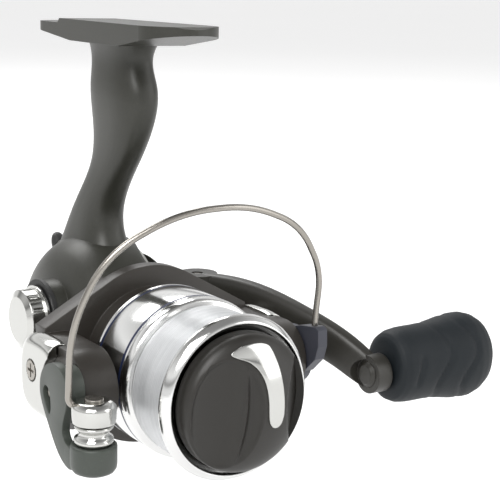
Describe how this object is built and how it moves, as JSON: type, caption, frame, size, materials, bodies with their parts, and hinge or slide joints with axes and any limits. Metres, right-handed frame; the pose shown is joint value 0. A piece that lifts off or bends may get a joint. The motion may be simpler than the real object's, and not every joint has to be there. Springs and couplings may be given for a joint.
{
  "type": "fishing reel",
  "caption": "Small open-face spinning reel with a T-foot, one-piece stem, gear body, flanged rotor, wire bail, skirted line spool, drag knob and folding crank.",
  "frame": {"origin": "centre of the foot's flat top face", "axes": "+Z out of the foot towards the rod, -Y towards the drag knob (front), +X towards the crank"},
  "size_m": [0.0973, 0.0847, 0.0825],
  "materials": {
    "olive_paint": "satin",
    "graphite": "satin",
    "arm_paint": "satin",
    "bail_plate": "satin",
    "lever_plate": "satin",
    "bright_metal": "polished",
    "bright_trim": "polished",
    "steel": "plain",
    "knob_plastic": "satin",
    "grip": "matte",
    "seal_rubber": "matte",
    "pale_collar": "satin",
    "gear_zinc": "cast",
    "gear_brass": "cut",
    "white_plastic": "plain",
    "felt": "felt",
    "line": "wound",
    "switch_plastic": "satin"
  },
  "bodies": {
    "frame": {"body_housing": "olive_paint", "side_cover": "olive_paint", "side_cover_screws": "steel", "left_bearing": "steel", "right_bearing": "steel", "pinion_bearing": "steel", "one_way_clutch": "steel", "shaft_seal": "seal_rubber", "slider_guide_rods": "steel"},
    "crank": {"drive_gear": "gear_zinc", "handle_collar": "pale_collar", "crank_base": "arm_paint", "hinge_pin": "steel"},
    "crank_arm": {"crank_arm": "arm_paint", "knob_shaft": "arm_paint", "knob_washer": "steel"},
    "handle_knob": {"handle_knob": "grip"},
    "screw_cap": {"screw_cap": "bright_trim"},
    "rotor": {"rotor": "graphite", "rotor_nut": "steel", "pinion_gear": "gear_brass", "left_arm_cover": "bright_trim", "right_arm_cover": "bright_trim", "arm_cover_screws": "steel", "bail_pivot_screws": "steel", "bail_spring": "steel"},
    "bail": {"bail_arm": "bail_plate", "bail_lever": "lever_plate", "bail_wire": "steel", "wire_collar": "bright_trim", "roller_screw": "steel", "roller_bush": "gear_brass"},
    "line_roller": {"line_roller": "bright_trim"},
    "oscillation_gear": {"oscillation_gear": "gear_zinc"},
    "shaft": {"main_shaft": "steel", "oscillation_slider": "gear_zinc", "spool_support_washer": "white_plastic"},
    "spool": {"spool": "bright_metal", "line_winding": "line", "click_ratchet": "white_plastic", "drag_felt_washers": "felt", "drag_metal_washers": "steel", "drag_clip": "steel"},
    "drag_knob": {"drag_knob": "knob_plastic", "drag_knob_insert": "bright_trim", "drag_nut": "steel", "drag_spring": "steel"},
    "anti_reverse_lever": {"anti_reverse_lever": "switch_plastic"}
  },
  "joints": [
    {"name": "crank_turn", "type": "hinge", "parent": "frame", "child": "crank", "pos_m": [0, 0.0055, -0.0593], "axis": [1, 0, 0], "continuous": true},
    {"name": "rotor_spin", "type": "hinge", "parent": "frame", "child": "rotor", "pos_m": [0, -0.032, -0.0645], "axis": [0, 1, 0], "continuous": true},
    {"name": "oscillation_turn", "type": "hinge", "parent": "frame", "child": "oscillation_gear", "pos_m": [0, 0.0175, -0.0645], "axis": [1, 0, 0], "continuous": true},
    {"name": "spool_stroke", "type": "slide", "parent": "frame", "child": "shaft", "axis": [0, 1, 0], "range_m": [-0.0052, 0.0052]},
    {"name": "spool_spin", "type": "hinge", "parent": "shaft", "child": "spool", "pos_m": [0, -0.032, -0.0645], "axis": [0, 1, 0], "continuous": true},
    {"name": "drag_knob_turn", "type": "hinge", "parent": "shaft", "child": "drag_knob", "pos_m": [0, -0.046, -0.0645], "axis": [0, 1, 0], "range_deg": [-90, 720]},
    {"name": "bail_open", "type": "hinge", "parent": "rotor", "child": "bail", "pos_m": [0, -0.0254, -0.0645], "axis": [1, 0, 0], "range_deg": [0, 80], "deforming": ["bail_spring"]},
    {"name": "line_roller_spin", "type": "hinge", "parent": "bail", "child": "line_roller", "pos_m": [-0.0244, -0.037, -0.0695], "axis": [0, 0, 1], "continuous": true},
    {"name": "crank_fold", "type": "hinge", "parent": "crank", "child": "crank_arm", "pos_m": [0.022, 0.0055, -0.0593], "axis": [0, 0, 1], "range_deg": [0, 90]},
    {"name": "knob_spin", "type": "hinge", "parent": "crank_arm", "child": "handle_knob", "pos_m": [0.052, -0.0346, -0.0683], "axis": [1, 0, 0], "continuous": true},
    {"name": "screw_cap_turn", "type": "hinge", "parent": "crank", "child": "screw_cap", "pos_m": [-0.018, 0.0055, -0.0593], "axis": [-1, 0, 0], "range_deg": [0, 1080]},
    {"name": "anti_reverse_turn", "type": "hinge", "parent": "frame", "child": "anti_reverse_lever", "pos_m": [0, 0.027, -0.0501], "axis": [0, 1, 0], "range_deg": [-15, 15]}
  ],
  "couplings": [
    {"joint": "rotor_spin", "follows": "crank_turn", "ratio": 4.6},
    {"joint": "oscillation_turn", "follows": "crank_turn", "ratio": -0.41379}
  ]
}
